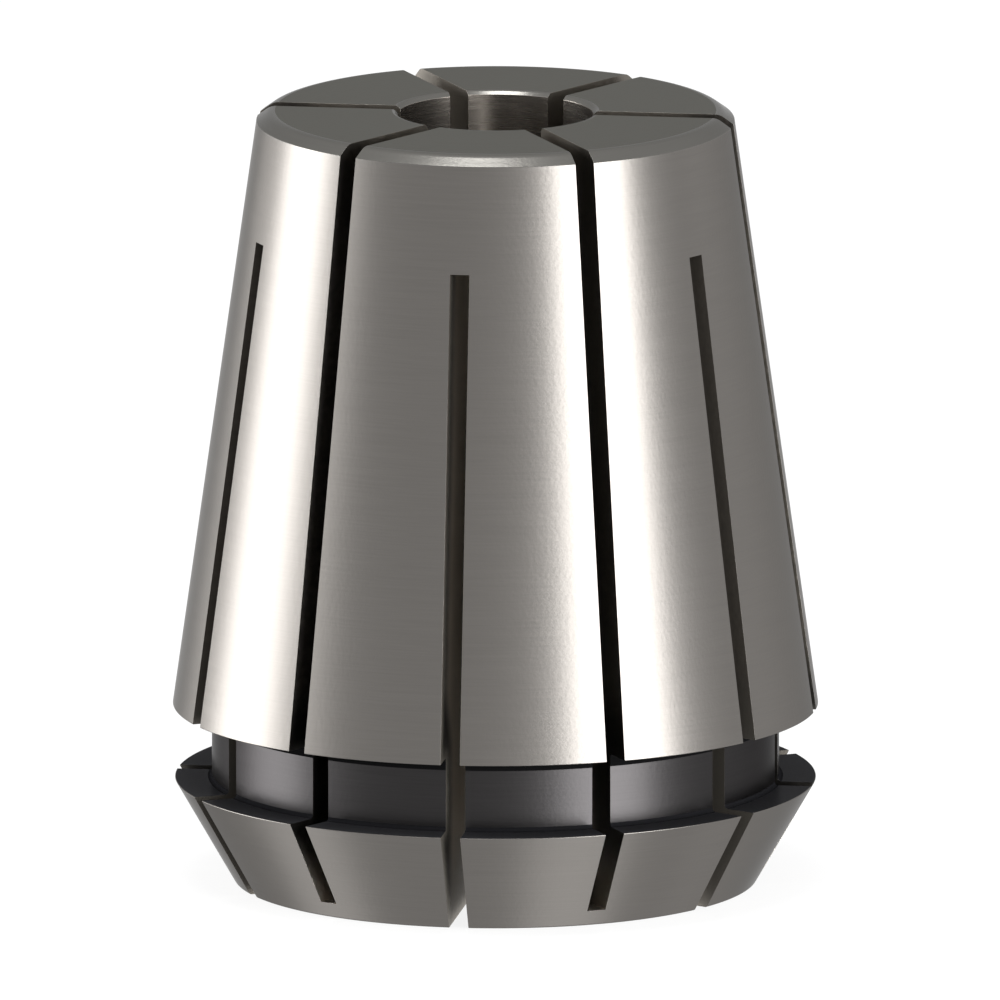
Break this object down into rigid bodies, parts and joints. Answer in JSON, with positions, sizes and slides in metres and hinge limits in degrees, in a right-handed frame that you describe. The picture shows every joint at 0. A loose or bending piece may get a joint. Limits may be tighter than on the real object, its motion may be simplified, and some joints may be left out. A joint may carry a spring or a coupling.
{
  "type": "er collet",
  "caption": "One-piece slotted spring collet: long holder cone, nut groove, short nut cone and a through bore that clamps a round tool shank.",
  "frame": {"origin": "middle of the front face, the wide end that looks out through the nut", "axes": "+Z along the bore axis from the front face to the narrow rear end; +X midway between a front slot and a rear slot"},
  "size_m": [0.033, 0.033, 0.04],
  "materials": {
    "spring_steel": "ground hardened spring steel, blackened in the nut groove"
  },
  "bodies": {
    "root": {"collet_body": "spring_steel"}
  },
  "joints": []
}
